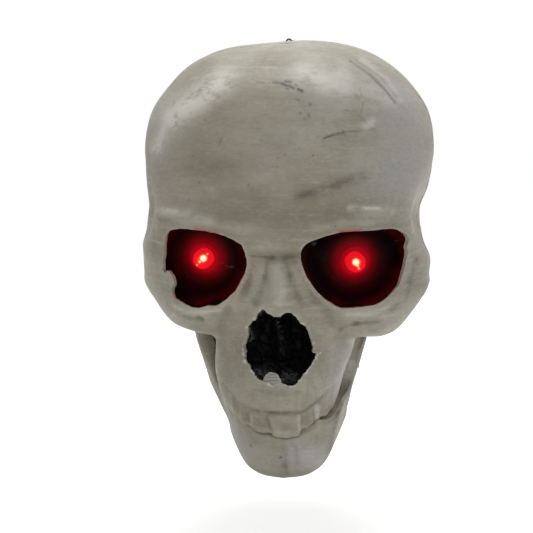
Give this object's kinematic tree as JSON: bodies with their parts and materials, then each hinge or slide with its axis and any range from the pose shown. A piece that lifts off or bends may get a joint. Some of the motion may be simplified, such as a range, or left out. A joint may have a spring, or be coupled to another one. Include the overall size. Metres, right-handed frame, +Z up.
{
  "type": "halloween skull decoration",
  "caption": "Hollow life-size plastic skull that hangs from a wire eye, with lit red eyes in black sockets, a hinged lower jaw and a battery neck.",
  "frame": {"origin": "inside the top of the hanging eye, where a hook bears", "axes": "+Z up, the face looks along -Y, +X to the right as seen from the front"},
  "size_m": [0.1508, 0.1846, 0.217],
  "materials": {
    "bone": "hand-painted satin bone grey",
    "black_liner": "glossy black sheet",
    "dark_plastic": "moulded black",
    "red_lens": "clear red lens, lit",
    "steel": "zinc plated",
    "board": "green laminate",
    "cell_wrap": "plain printed wrap, no text",
    "resistor_body": "lacquered",
    "lead_insulation": "soft insulation"
  },
  "bodies": {
    "head": {"front_shell": "bone", "rear_shell": "bone", "neck_housing": "bone", "left_eye_cup": "black_liner", "right_eye_cup": "black_liner", "nose_liner": "black_liner", "left_lamp_holder": "dark_plastic", "right_lamp_holder": "dark_plastic", "left_jaw_washer": "dark_plastic", "right_jaw_washer": "dark_plastic", "cell_box": "dark_plastic", "switch_body": "dark_plastic", "left_lamp": "red_lens", "right_lamp": "red_lens", "left_jaw_screw": "steel", "right_jaw_screw": "steel", "neck_screw_1": "steel", "neck_screw_2": "steel", "neck_screw_3": "steel", "neck_screw_4": "steel", "cell_bridge": "steel", "left_cell_contact": "steel", "right_cell_contact": "steel", "left_board_screw": "steel", "right_board_screw": "steel", "hanging_eye": "steel", "eye_washer": "steel", "circuit_board": "board", "left_cell": "cell_wrap", "right_cell": "cell_wrap", "left_resistor": "resistor_body", "right_resistor": "resistor_body", "left_lamp_lead": "lead_insulation", "right_lamp_lead": "lead_insulation"},
    "jaw": {"lower_jaw": "bone"},
    "door": {"cell_door": "bone"},
    "knob": {"switch_knob": "dark_plastic"}
  },
  "joints": [
    {"name": "jaw_hinge", "type": "hinge", "parent": "head", "child": "jaw", "pos_m": [0, 0.002, -0.12681], "axis": [1, 0, 0], "range_deg": [0, 16]},
    {"name": "door_slide", "type": "slide", "parent": "head", "child": "door", "axis": [0, 1, 0], "range_m": [0, 0.055]},
    {"name": "switch_slide", "type": "slide", "parent": "head", "child": "knob", "axis": [-1, 0, 0], "range_m": [0, 0.004]}
  ]
}
